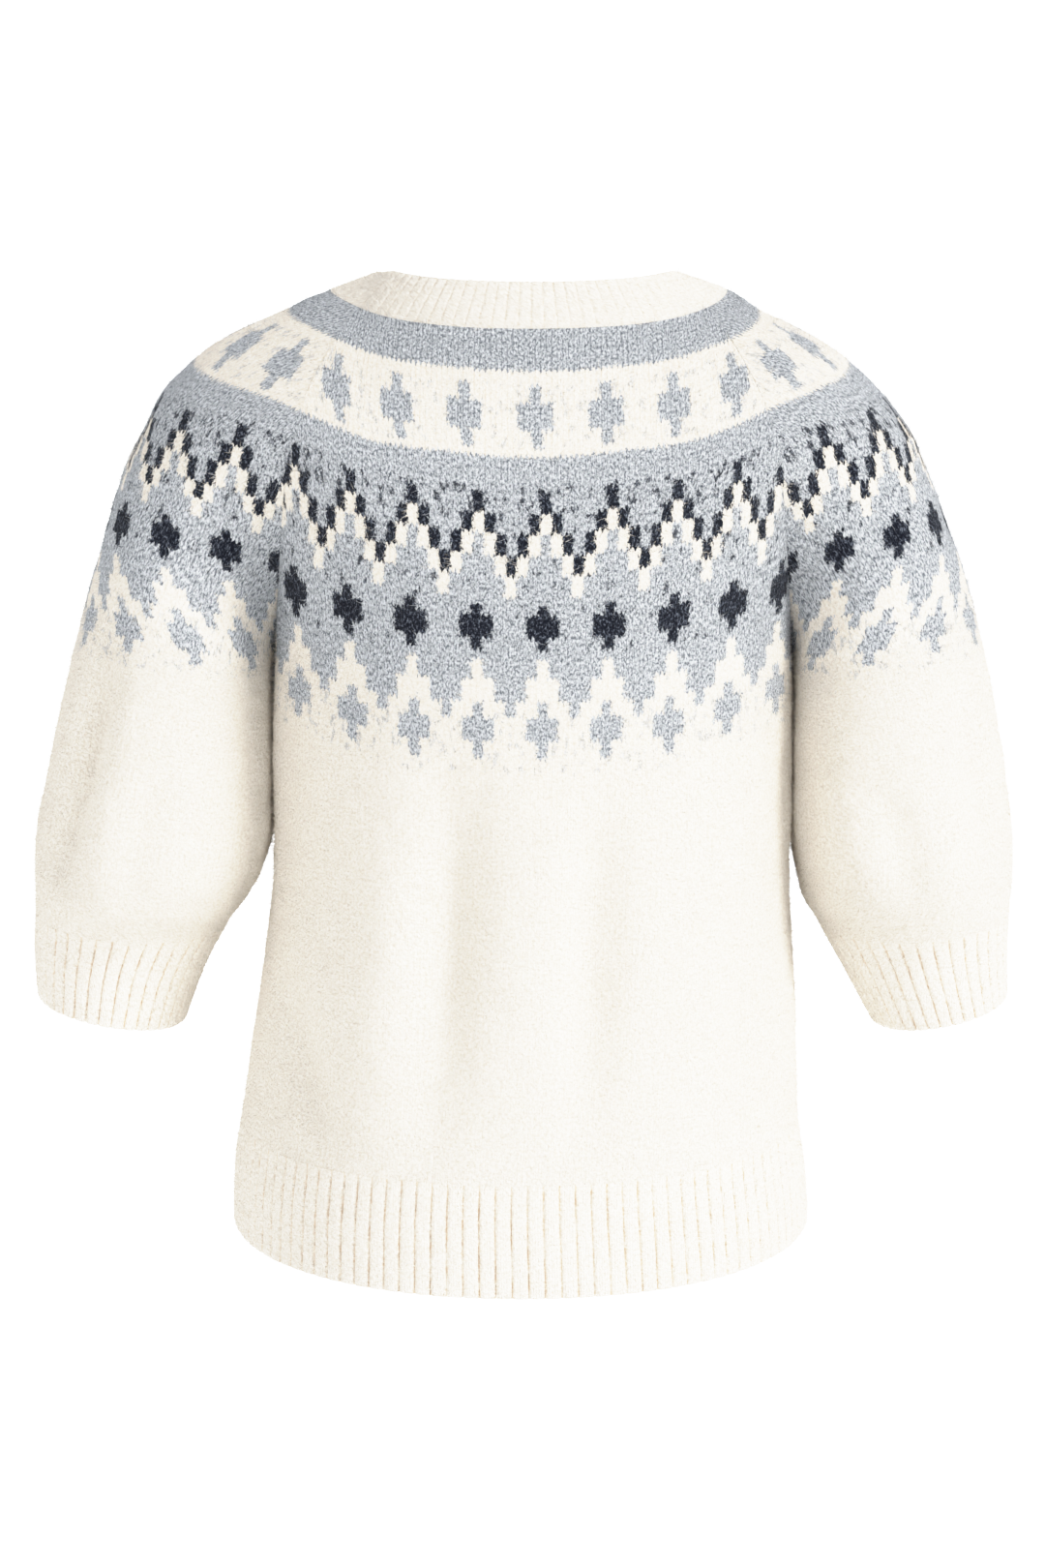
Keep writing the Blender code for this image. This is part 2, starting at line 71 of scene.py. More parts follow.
middleLine = table(
    "drop    x       backY   backZ   frontY  frontZ",
    (-0.0300, 0.0056, -0.0700, 0.0122, 0.0520, -0.0360),
    (0.0000, 0.0058, -0.0850, -0.0120, 0.0700, -0.0600),
    (0.0260, 0.0058, -0.1000, -0.0330, 0.0830, -0.0820),
    (0.0730, 0.0058, -0.1150, -0.0770, 0.1020, -0.1250),
    (0.1000, 0.0060, -0.1200, -0.1040, 0.1100, -0.1510),
    (0.1500, 0.0062, -0.1250, -0.1540, 0.1210, -0.1990),
    (0.2000, 0.0063, -0.1250, -0.2040, 0.1280, -0.2480),
    (0.2430, 0.0058, -0.1240, -0.2470, 0.1300, -0.2880),
    (0.3000, 0.0056, -0.1230, -0.3040, 0.1300, -0.3370),
    (0.4000, 0.0030, -0.1260, -0.4040, 0.1270, -0.4200),
    (0.4500, 0.0002, -0.1300, -0.4540, 0.1270, -0.4620),
    (0.4815, -0.0016, -0.1345, -0.4855, 0.1295, -0.4880),
    (0.5465, -0.0010, -0.1420, -0.5505, 0.1350, -0.5520),
)
# a turn is a row's heading in plan at the raglan seam, 0 straight out and 90 from back to front;
# rise and lift are how steeply the rows of body and sleeve climb there
raglanLine = table(
    "drop x backY backZ frontY frontZ bodyTurn sleeveTurn backRise backLift frontRise frontLift",
    (-0.030, 0.0760, -0.0340, 0.0140, 0.0220, 0.0010, 60, 60, 2, -4, 35, 35),
    (0.000, 0.0960, -0.0400, -0.0060, 0.0320, -0.0180, 55, 55, 8, 8, 33, 33),
    (0.026, 0.1070, -0.0580, -0.0190, 0.0530, -0.0350, 45, 45, 12, 12, 30, 30),
    (0.073, 0.1250, -0.0840, -0.0510, 0.0820, -0.0690, 31, 29, 18, 18, 27, 27),
    (0.100, 0.1325, -0.0900, -0.0740, 0.0885, -0.0920, 33, 23, 18, 20, 24, 24),
    (0.125, 0.1370, -0.0790, -0.1030, 0.0790, -0.1170, 46, 6, 13, 22, 20, 22),
    (0.150, 0.1410, -0.0580, -0.1360, 0.0600, -0.1450, 61, -24, 7, 22, 16, 20),
    (0.175, 0.1450, -0.0320, -0.1740, 0.0335, -0.1780, 76, -60, 1, 13, 10, 12),
    (0.200, 0.1485, 0.0000, -0.2100, 0.0000, -0.2100, 90, -90, -4, 0, 4, 0),
)
sideLine = table(
    "drop    x       y       z       rise",
    (0.2000, 0.1485, 0.0000, -0.2100, 4.0),
    (0.2430, 0.1485, 0.0000, -0.2540, 4.0),
    (0.3000, 0.1492, 0.0000, -0.3110, 3.0),
    (0.3450, 0.1514, 0.0000, -0.3530, 2.0),
    (0.4000, 0.1573, 0.0000, -0.4070, 1.5),
    (0.4500, 0.1619, 0.0000, -0.4560, 0.5),
    (0.4815, 0.1653, 0.0000, -0.4880, 0.0),
    (0.5130, 0.1698, 0.0000, -0.5190, 0.0),
    (0.5465, 0.1716, 0.0000, -0.5510, 0.0),
)
shoulderLine = table(
    "drop    leftX   rightX  y      z",
    (-0.0300, 0.0810, 0.0860, 0.000, 0.0095),
    (0.0000, 0.1080, 0.1150, 0.000, -0.0005),
    (0.0260, 0.1310, 0.1320, 0.002, -0.0110),
    (0.0730, 0.1840, 0.1815, 0.004, -0.0390),
    (0.0920, 0.2035, 0.2025, 0.005, -0.0580),
    (0.1150, 0.2155, 0.2195, 0.006, -0.0800),
    (0.1400, 0.2265, 0.2300, 0.006, -0.1020),
    (0.1680, 0.2375, 0.2430, 0.006, -0.1350),
    (0.1850, 0.2440, 0.2510, 0.006, -0.1560),
    (0.2430, 0.2600, 0.2670, 0.006, -0.2120),
    (0.3000, 0.2740, 0.2790, 0.006, -0.2700),
    (0.3450, 0.2840, 0.2860, 0.007, -0.3180),
    (0.3700, 0.2858, 0.2870, 0.008, -0.3420),
    (0.3920, 0.2862, 0.2862, 0.009, -0.3640),
    (0.4200, 0.2880, 0.2860, 0.010, -0.3890),
    (0.4470, 0.2870, 0.2870, 0.011, -0.4160),
)
underarmLine = table(
    "drop    leftX   rightX  y      z",
    (0.2000, 0.1485, 0.1485, 0.000, -0.2100),
    (0.2430, 0.1496, 0.1491, 0.002, -0.2420),
    (0.3000, 0.1501, 0.1493, 0.003, -0.2900),
    (0.3250, 0.1512, 0.1498, 0.004, -0.3140),
    (0.3450, 0.1570, 0.1531, 0.004, -0.3340),
    (0.3700, 0.1675, 0.1577, 0.006, -0.3540),
    (0.3920, 0.1792, 0.1674, 0.008, -0.3720),
    (0.4200, 0.1942, 0.1833, 0.010, -0.4010),
    (0.4470, 0.2060, 0.2004, 0.011, -0.4330),
)
# how strongly a half row is pulled along its heading at its ends; a longer pull is a fuller curve
yokePull = table(
    "drop    middle  body    sleeve  shoulder",
    (-0.030, 0.0945, 0.0945, 0.0340, 0.0340),
    (0.000, 0.1170, 0.1170, 0.0480, 0.0480),
    (0.026, 0.1310, 0.1280, 0.0720, 0.0720),
    (0.073, 0.1565, 0.1445, 0.1180, 0.1180),
    (0.100, 0.1700, 0.1500, 0.1440, 0.1530),
    (0.125, 0.1790, 0.1480, 0.1470, 0.1800),
    (0.150, 0.1930, 0.1500, 0.1520, 0.2080),
    (0.175, 0.2230, 0.1690, 0.2080, 0.2530),
    (0.200, 0.2620, 0.2135, 0.2930, 0.2930),
)
lowPull = table(
    "drop    middle  body    sleeve  shoulder",
    (0.2000, 0.2620, 0.2135, 0.2930, 0.2930),
    (0.2430, 0.2640, 0.2135, 0.3060, 0.3060),
    (0.3000, 0.2640, 0.2140, 0.3180, 0.3180),
    (0.3450, 0.2660, 0.2155, 0.3160, 0.3160),
    (0.3700, 0.2685, 0.2180, 0.2960, 0.2960),
    (0.3920, 0.2710, 0.2195, 0.2440, 0.2440),
    (0.4470, 0.2785, 0.2265, 0.1900, 0.1900),
    (0.4815, 0.2877, 0.2344, 0.1900, 0.1900),
    (0.5465, 0.3007, 0.2450, 0.1900, 0.1900),
)
# soft folds: a trough where depth is positive, a ridge where it is negative; beside is measured
# from the middle towards +X on the body, and from the shoulder line to the front on a sleeve.
# The sign is the body's facing or the sleeve's side.
bodyFolds = table(
    "sign    dropA  dropB  besideA besideB width  depth",
    (-1, 0.212, 0.491, -0.041, -0.053, 0.022, 0.0115),
    (-1, 0.240, 0.470, -0.076, -0.092, 0.026, -0.0030),
    (-1, 0.225, 0.490, 0.038, 0.036, 0.018, 0.0100),
    (-1, 0.362, 0.487, -0.170, -0.116, 0.020, 0.0065),
    (-1, 0.300, 0.480, 0.128, 0.142, 0.018, 0.0030),
    (1, 0.222, 0.491, 0.036, 0.047, 0.023, 0.0075),
    (1, 0.250, 0.480, -0.052, -0.060, 0.020, 0.0055),
    (1, 0.245, 0.460, 0.090, 0.101, 0.026, -0.0028),
    (1, 0.362, 0.487, 0.164, 0.114, 0.020, 0.0045),
    (1, 0.330, 0.480, -0.126, -0.136, 0.018, 0.0030),
    (-1, 0.165, 0.360, -0.186, -0.186, 0.014, -0.0026),  # pressed up beside the sleeves
    (-1, 0.165, 0.360, 0.186, 0.186, 0.014, -0.0026),
    (1, 0.165, 0.360, -0.192, -0.192, 0.014, -0.0027),
    (1, 0.165, 0.360, 0.192, 0.192, 0.014, -0.0027),
)
sleeveFolds = table(
    "sign    dropA  dropB  besideA besideB width  depth",
    (-1, 0.200, 0.388, -0.072, -0.057, 0.014, 0.0105),
    (-1, 0.260, 0.392, -0.125, -0.108, 0.015, 0.0036),
    (-1, 0.220, 0.385, 0.066, 0.058, 0.018, 0.0052),
    (1, 0.215, 0.385, -0.070, -0.060, 0.017, 0.0040),
    (1, 0.270, 0.392, -0.128, -0.110, 0.016, 0.0045),
    (1, 0.210, 0.390, 0.052, 0.048, 0.018, 0.0046),
    (-1, 0.178, 0.385, -0.172, -0.213, 0.014, -0.0026),  # pressed up beside the body
    (-1, 0.178, 0.385, 0.172, 0.213, 0.014, -0.0027),
    (1, 0.178, 0.385, -0.170, -0.207, 0.014, -0.0026),
    (1, 0.165, 0.388, -0.142, -0.170, 0.026, -0.0038),
    (1, 0.178, 0.385, 0.170, 0.207, 0.014, -0.0027),
)


# a cubic from start to end with its slopes there, over a step in which t runs from 0 to 1
def cubic(t, start, startSlope, end, endSlope, step=1):
    return (
        (1 + 2 * t) * (1 - t) ** 2 * start
        + t * (1 - t) ** 2 * step * startSlope
        + t * t * (3 - 2 * t) * end
        + t * t * (t - 1) * step * endSlope
    )


# a column of a table at any drop: cubics through its rows, straight beyond its ends
def at(rows, column, drop):
    x, y = rows["drop"], rows[column]
    slope = np.gradient(y, x)
    k = np.clip(np.searchsorted(x, drop) - 1, 0, len(x) - 2)
    step = x[k + 1] - x[k]
    t = np.clip((drop - x[k]) / step, 0, 1)
    inside = cubic(t, y[k], slope[k], y[k + 1], slope[k + 1], step)
    before = np.minimum(drop - x[0], 0) * slope[0]
    beyond = np.maximum(drop - x[-1], 0) * slope[-1]
    return inside + before + beyond


# points of a line, from three columns of its table
def place(rows, x, y, z, drop):
    return np.stack([at(rows, column, drop) for column in (x, y, z)], -1)


# vectors divided by their lengths
def unit(vectors):
    return vectors / np.maximum(np.linalg.norm(vectors, axis=-1, keepdims=True), 1e-12)


# direction of a row that runs outward from the middle, from its heading in plan and its climb
def heading(turn, rise, facing, side):
    turn, rise = np.radians(turn), np.radians(rise)
    level = np.cos(rise)
    return np.stack([side * np.cos(turn) * level, -facing * np.sin(turn) * level, np.sin(rise)], -1)


# a cubic between two ends with their pulls, read at shares of its length
def arc(start, startPull, end, endPull, share):
    t = np.linspace(0, 1, sweater["arcPoints"])[:, None, None]
    dense = cubic(t, start, startPull, end, endPull)
    run = np.linalg.norm(np.diff(dense, axis=0), axis=2).cumsum(0)
    run = np.concatenate([np.zeros((1, run.shape[1])), run]) / run[-1]
    points = np.empty(share.shape + (3,))
    for row in range(len(share)):
        for axis in range(3):
            points[row, :, axis] = np.interp(share[row], run[:, row], dense[:, row, axis])
    return points


def endName(facing):
    return "back" if facing == back else "front"


# points of a raglan seam, mirrored about the middle line
def raglan(drop, facing, side):
    end = endName(facing)
    points = place(raglanLine, "x", end + "Y", end + "Z", drop)
    points[:, 0] = points[:, 0] * side + at(middleLine, "x", drop)
    return points


# the pull at a row's end: one table above the underarms, another below
def pull(column, drop):
    above = at(yokePull, column, drop)
    return np.where(drop < sweater["underarm"], above, at(lowPull, column, drop))[:, None]


# half rows of the back or the front, from the middle out to a seam
def bodyHalf(drop, share, facing, side):
    end = endName(facing)
    middle = place(middleLine, "x", end + "Y", end + "Z", drop)
    low = place(sideLine, "x", "y", "z", drop)
    low[:, 0] = low[:, 0] * side + at(middleLine, "x", drop)
    above = drop < sweater["underarm"]
    edge = np.where(above[:, None], raglan(drop, facing, side), low)
    turn = np.where(above, at(raglanLine, "bodyTurn", drop), 90)
    rise = np.where(above, at(raglanLine, end + "Rise", drop), facing * at(sideLine, "rise", drop))
    middlePull = pull("middle", drop) * np.array([side, 0, 0])
    edgePull = pull("body", drop) * heading(turn, rise, facing, side)
    return arc(middle, middlePull, edge, edgePull, share)


# half rows of a sleeve, from its seam to the shoulder line
def sleeveHalf(drop, share, facing, side):
    end = endName(facing)
    column = "leftX" if side == left else "rightX"
    top = place(shoulderLine, column, "y", "z", drop) * np.array([side, 1, 1])
    low = place(underarmLine, column, "y", "z", drop)
    low[:, 0] = low[:, 0] * side + at(middleLine, "x", np.minimum(drop, sweater["underarm"]))
    above = drop < sweater["underarm"]
    edge = np.where(above[:, None], raglan(drop, facing, side), low)
    turn = np.where(above, at(raglanLine, "sleeveTurn", drop), -90)
    lift = np.where(above, at(raglanLine, end + "Lift", drop), 0)
    edgePull = pull("sleeve", drop) * heading(turn, lift, facing, side)
    topPull = pull("shoulder", drop) * np.array([0, -facing, 0])
    return arc(edge, edgePull, top, topPull, share)


# drops as an array, and across as a grid with a row for each of them
def rowsOf(drop, across):
    drop = np.atleast_1d(np.asarray(drop, float))
    across = np.asarray(across, float)
    return drop, np.broadcast_to(across, (len(drop), across.shape[-1]))


# the back or the front: two half rows that meet in the middle, where across is 0
def body(drop, across, facing):
    drop, across = rowsOf(drop, across)
    first = bodyHalf(drop, np.clip(-across, 0, 1), facing, facing)
    second = bodyHalf(drop, np.clip(across, 0, 1), facing, -facing)
    return np.where((across < 0)[..., None], first, second)


# a sleeve: two half rows that meet at the shoulder line
def sleeve(drop, across, side):
    drop, across = rowsOf(drop, across)
    first = sleeveHalf(drop, np.clip(1 + across, 0, 1), -side, side)
    second = sleeveHalf(drop, np.clip(1 - across, 0, 1), side, side)
    return np.where((across < 0)[..., None], first, second)


# the summed distances between points along each row
def rowLengths(surface, drop):
    points = surface(drop, np.linspace(-1, 1, sweater["arcPoints"]))
    return np.linalg.norm(np.diff(points, axis=1), axis=2).sum(1)


# round the neck, from the left raglan seam of the back over back, right, front and left; each
# has the share of across that its length has of the round
def neck(drop, across):
    drop, across = rowsOf(drop, across)
    parts = (partial(body, facing=back), partial(sleeve, side=right),
             partial(body, facing=front), partial(sleeve, side=left))
    middleRow = np.array([sweater["neckTop"] / 2])
    ends = np.cumsum([rowLengths(part, middleRow)[0] for part in parts])
    ends = np.concatenate([[0], ends]) / ends[-1] * 2 - 1
    points = np.zeros(across.shape + (3,))
    for part, start, end in zip(parts, ends[:-1], ends[1:]):
        inside = (across >= start) & (across <= end)
        own = np.clip((across - start) / (end - start) * 2 - 1, -1, 1)
        points = np.where(inside[..., None], part(drop, own), points)
    return points


# e to the minus x squared
def bell(x):
    return np.exp(-(x**2))


# a step from 0 to 1 that starts and ends level
def smooth(t):
    return t * t * (3 - 2 * t)


# depth of a table's folds of one sign: the sum of a bell across each, faded in and out along it
# by a sine; way is 1 or -1, as a row runs with the table's beside or against it
def foldDepth(folds, sign, way, drop, beside):
    depth = np.zeros(beside.shape)
    for k in np.flatnonzero(folds["sign"] == sign):
        fold = {column: values[k] for column, values in folds.items()}
        t = (drop - fold["dropA"]) / (fold["dropB"] - fold["dropA"])
        inside = np.sin(np.pi * np.clip(t, 0, 1)) ** sweater["foldFade"]
        centre = fold["besideA"] + t * (fold["besideB"] - fold["besideA"])
        depth += fold["depth"] * inside * bell((way * beside - centre) / fold["width"])
    return depth * sweater["foldGain"]


def noPush(drop, beside):
    return np.zeros(beside.shape)


# value noise: random numbers on a lattice, joined by smooth steps; from -1 to 1
def softNoise(u, v, size, seed):
    cells = 256
    lattice = np.random.default_rng(seed).uniform(-1, 1, (cells + 1, cells + 1))
    x, y = u / size, v / size
    i, j = np.floor(x).astype(int), np.floor(y).astype(int)
    s, t = smooth(x - i), smooth(y - j)
    i, j = i % cells, j % cells
    low = lattice[i, j] * (1 - s) + lattice[i + 1, j] * s
    high = lattice[i, j + 1] * (1 - s) + lattice[i + 1, j + 1] * s
    return low * (1 - t) + high * t


# points, outward normals, inward directions and distances from the row's middle
def form(surface, push, drop, across):
    drop, across = rowsOf(drop, across)
    step = sweater["step"]
    down = surface(drop + step, across) - surface(drop - step, across)
    ahead, behind = np.clip(across + step, -1, 1), np.clip(across - step, -1, 1)
    normal = unit(np.cross(down, surface(drop, ahead) - surface(drop, behind)))
    beside = across * rowLengths(surface, drop)[:, None] / 2
    inset = sweater["skinInset"] + push(drop[:, None], beside)
    points = surface(drop, across) - inset[..., None] * normal
    above = surface(drop - sweater["axisStep"], across).mean(1)
    below = surface(drop + sweater["axisStep"], across).mean(1)
    axis = unit(below - above)[:, None]
    level = np.clip((drop - sweater["underarm"]) / sweater["levelBlend"], 0, 1)[:, None, None]
    along = (normal * axis).sum(-1, keepdims=True)
    return points, normal, unit(level * along * axis - normal), beside


# inward direction that two walls share at a raglan seam, turning upward to the underarm
def raglanInward(drop, facing, side):
    step = sweater["step"]
    down = unit(raglan(drop + step, facing, side) - raglan(drop - step, facing, side))
    end = endName(facing)
    rise, lift = at(raglanLine, end + "Rise", drop), at(raglanLine, end + "Lift", drop)
    bodyWay = heading(at(raglanLine, "bodyTurn", drop), rise, facing, side)
    sleeveWay = heading(at(raglanLine, "sleeveTurn", drop), lift, facing, side)
    outward = side * facing * np.cross(bodyWay + sleeveWay, down)
    shared = unit(bodyWay - sleeveWay - outward)
    upward = np.clip((drop - sweater["underarm"]) / sweater["upwardBlend"] + 1, 0, 1)[:, None] ** 2
    return unit((1 - upward) * shared + upward * np.array([0, 0, 1.0]))


# a smooth mesh with two UV maps: the places of its corners in the knit and in the chart
def mappedMesh(name, points, faces, corners):
    mesh = bpy.data.meshes.new(name)
    mesh.from_pydata(points.tolist(), [], faces)
    for kind, part in (("knit", corners[:, :2]), ("chart", corners[:, 2:])):
        layer = mesh.uv_layers.new(name=kind)
        layer.uv.foreach_set("vector", part.astype(np.float32).ravel())
    mesh.shade_smooth()
    return mesh


# a closed wall between an outer grid and every few points of an inner one; places has one more
# column than a closed ring has points, so that its last faces don't run backwards
def wallMesh(name, outer, inner, skip, places, closed):
    skipRow, skipColumn = skip
    inner = inner[::skipRow, ::skipColumn]
    rows, wide = outer.shape[:2]
    innerRows, narrow = inner.shape[:2]
    spans = narrow if closed else narrow - 1
    ids, maps = [], []

    def face(*groups):
        ids.append(np.concatenate([g[0] for g in groups], 1))
        maps.append(np.concatenate([g[1] for g in groups], 1))

    def out(row, column):
        row, column = np.broadcast_arrays(row, column)
        return row * wide + column % wide, places[row, column]

    def inn(row, column):
        row, column = np.broadcast_arrays(row, column)
        place = places[row * skipRow, column * skipColumn]
        return rows * wide + row * narrow + column % narrow, place

    square = np.array([[0, 0], [1, 0], [1, 1], [0, 1]])
    r, c = [g.reshape(-1, 1) for g in np.mgrid[0 : rows - 1, 0 : spans * skipColumn]]
    face(out(r + square[:, 0], c + square[:, 1]))
    r, c = [g.reshape(-1, 1) for g in np.mgrid[0 : innerRows - 1, 0:spans]]
    face(inn(r + square[::-1, 0], c + square[::-1, 1]))
    c = np.arange(spans)[:, None]
    run = np.arange(skipColumn + 1)
    pair = np.array([0, 1])
    face(out(0 * c, c * skipColumn + run), inn(0 * c, c + pair[::-1]))
    face(out(0 * c + rows - 1, c * skipColumn + run[::-1]), inn(0 * c + innerRows - 1, c + pair))
    if not closed:
        r = np.arange(innerRows - 1)[:, None]
        run = np.arange(skipRow + 1)
        face(inn(r + pair, 0 * r), out(r * skipRow + run[::-1], 0 * r))
        face(out(r * skipRow + run, 0 * r + wide - 1), inn(r + pair[::-1], 0 * r + spans))

    points = np.concatenate([outer.reshape(-1, 3), inner.reshape(-1, 3)])
    faces = [f for group in ids for f in group.tolist()]
    mesh = mappedMesh(name, points, faces, np.concatenate([m.reshape(-1, 4) for m in maps]))
    mesh.set_sharp_from_angle(angle=math.radians(sweater["sharpAngle"]))
    return mesh


scene = bpy.context.scene
collection = bpy.data.collections.new("sweater")
scene.collection.children.link(collection)


# a mesh as a named piece, with the material of its knit
def addPiece(name, mesh, knit):
    material, slot = knit
    piece = bpy.data.objects.new(name, mesh)
    collection.objects.link(piece)
    mesh.materials.append(material)
    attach(piece, "root")
    return piece


yarns = {
    "cream": (0.957, 0.918, 0.850),
    # a darker, warmer cream for the speckle: partly the yarn's own uneven tone, partly painted
    # shade between the brushed surface's tufts
    "creamSpeckleAndTuftShade": (0.770, 0.708, 0.612),
    "greyLight": (0.718, 0.756, 0.808),
    # the dark strands of the grey melange, and the painted shade between the wales on grey
    "greyDark": (0.105, 0.122, 0.146),
    "charcoal": (0.004, 0.006, 0.013),
    "charcoalLight": (0.165, 0.192, 0.245),
    # painted shade down in the ribs' grooves and between the wales on cream: a warm dark cream
    "groove": (0.660, 0.480, 0.310),
    "wale": 0.0030,         # width and height of one stitch
    "course": 0.0031,
    "stitchLean": -0.9,     # how far a stitch's legs lean, in courses for each wale
    "beadRound": 0.6,       # power of the sine that rounds a leg
    # the painted shade in the valley between two wales: its strength near the neck and low down,
    # the drops between which it fades, its place from a wale's middle, and what's left of it where
    # it is broken
    "paintedWaleShade": (0.95, 0.30),
    "waleFade": (0.02, 0.12),
    "waleEdge": (0.30, 0.50),
    "leastLine": 0.20,
    "waleShadeOnCream": 0.45,
    "chartEnd": 0.2500,
    "edgeTooth": 0.0020,    # how far a stitch's V reaches over the line between two colours
    "edgeFray": 0.0052,
    "sideFray": 0.95,       # in columns of the chart
    "strayEdge": 0.03,      # over which a stray strand comes in
    "greyStray": 0.55,      # how much of the cream a grey strand hides
    "charcoalStray": 0.92,
    "grooveEdge": 0.09,     # half width of a groove's painted shade, in pitches of the ribs
    "grooveSway": 0.07,
    "leastGroove": 0.15,
    "grooveShadeShare": 0.85,    # how much of the painted shade in the grooves shows
    "neckGrooveShadeShare": 0.30,
    "strandDraw": 0.55,     # strands are longer than wide by the inverse of this
    "curlHeight": 2.4,      # of the bump: curls and fibres against a stitch of 1
    "fibreHeight": 0.8,
    "stitchHeight": 0.15,
    "ribStitchHeight": 0.35,
    "bump": (1.0, 0.0016),  # strength and distance
    "ribBump": (0.9, 0.0015),
}
# noises of the yarn: scale, distance from the other noises, detail, roughness, and the values
# of the noise where its effect begins and is complete
yarnNoise = {
    "speckle": (560, 0.0, 4, 0.80, 0.38, 0.56),
    "curls": (430, 0.0, 3, 0.70),
    "fibres": (1200, 0.3, 3, 0.65),
    "dropFray": (520, 0.4, 4, 0.75, 0.20, 0.80),
    "sideFray": (560, 0.5, 4, 0.75, 0.20, 0.80),
    "stray": (210, 0.6, 4, 0.75),
    "melange": (900, 0.7, 4, 0.80, 0.42, 0.56),
    "glint": (850, 0.8, 4, 0.80, 0.53, 0.62),
    "waleBreak": (240, 0.9, 3, 0.65, 0.40, 0.62),
    "grooveSway": (420, 0.4, 3, 0.65, 0.20, 0.80),
    "grooveBreak": (150, 0.5, 3, 0.65, 0.36, 0.60),
}
# the shader's inputs that all the wool shares
woolFinish = {
    "Roughness": 0.95,
    "Specular IOR Level": 0.06,
    "Sheen Weight": 0.04,
    "Sheen Roughness": 0.55,
    "Sheen Tint": (1.0, 0.98, 0.95, 1.0),
}

# from this drop on, the colours of columns 0 to 3 out from a motif's middle: g grey, c cream,
# k charcoal
yokeChart = (
    (0.0000, "gggg"),
    (0.0260, "cccc"),
    (0.0336, "gccc"),
    (0.0433, "ggcc"),
    (0.0595, "gccc"),
    (0.0687, "cccc"),
    (0.0730, "gggg"),
    (0.0913, "kggg"),
    (0.1026, "ckgg"),
    (0.1139, "gckg"),
    (0.1253, "ggck"),
    (0.1366, "gggc"),
    (0.1479, "gggg"),
    (0.1521, "kggg"),
    (0.1580, "kkgg"),
    (0.1707, "kggg"),
    (0.1771, "gggg"),
    (0.1819, "cggg"),
    (0.1926, "ccgg"),
    (0.2054, "gccg"),
    (0.2147, "ggcc"),
    (0.2278, "gccc"),
    (0.2381, "cccc"),
)
# how the chart lies on the knit. On the body a period of the chart is a length, one motif's
# middle stands beside the middle of the row, and the sides are stretched; on a sleeve a period
# is a share of half a row. Towards the sides the chart's rows run this far ahead of the knit's.
chartLay = table(
    "drop    period  beside  stretch sleevePeriod bodyAhead sleeveAhead",
    (0.0000, 0.0385, 0.0011, 0.0000, 0.43, 0.0000, 0.0000),
    (0.0550, 0.0385, 0.0011, 0.0000, 0.43, -0.0050, -0.0050),
    (0.1000, 0.0362, 0.0068, 0.0000, 0.31, -0.0070, -0.0075),
    (0.1350, 0.0362, 0.0060, 0.0040, 0.25, -0.0055, -0.0060),
    (0.1500, 0.0363, 0.0050, 0.0110, 0.24, -0.0035, 0.0020),
    (0.1700, 0.0360, 0.0045, 0.0140, 0.23, 0.0010, 0.0140),
    (0.1900, 0.0355, 0.0046, 0.0160, 0.21, 0.0060, 0.0290),
    (0.2050, 0.0350, 0.0047, 0.0180, 0.20, 0.0100, 0.0345),
    (0.2400, 0.0350, 0.0047, 0.0180, 0.20, 0.0150, 0.0345),
)
chartReach = {
    "columns": 6,           # of the chart in a period
    "stretched": 0.158,     # the stretch grows to this distance from the motif
    "beyond": 0.70,         # columns a metre farther out, against those near the middle
    "asideFrom": 0.30,      # shares of half a row where the chart starts to run ahead
    "asideOver": 0.45,      # and over which it comes to its full lead
    "sleeveMotif": 0.78,
    "sleeveFull": 0.80,
}
# from this drop on, how freely grey strands stray on cream and charcoal ones on grey
strayChart = (
    (0.0000, 0.30, 0.30),
    (0.0330, 0.445, 0.30),
    (0.0690, 0.30, 0.30),
    (0.0880, 0.30, 0.455),
    (0.1060, 0.34, 0.420),
    (0.1480, 0.34, 0.400),
    (0.1800, 0.36, 0.30),
    (0.2100, 0.450, 0.30),
    (0.2350, 0.445, 0.30),
    (0.2460, 0.30, 0.30),
)


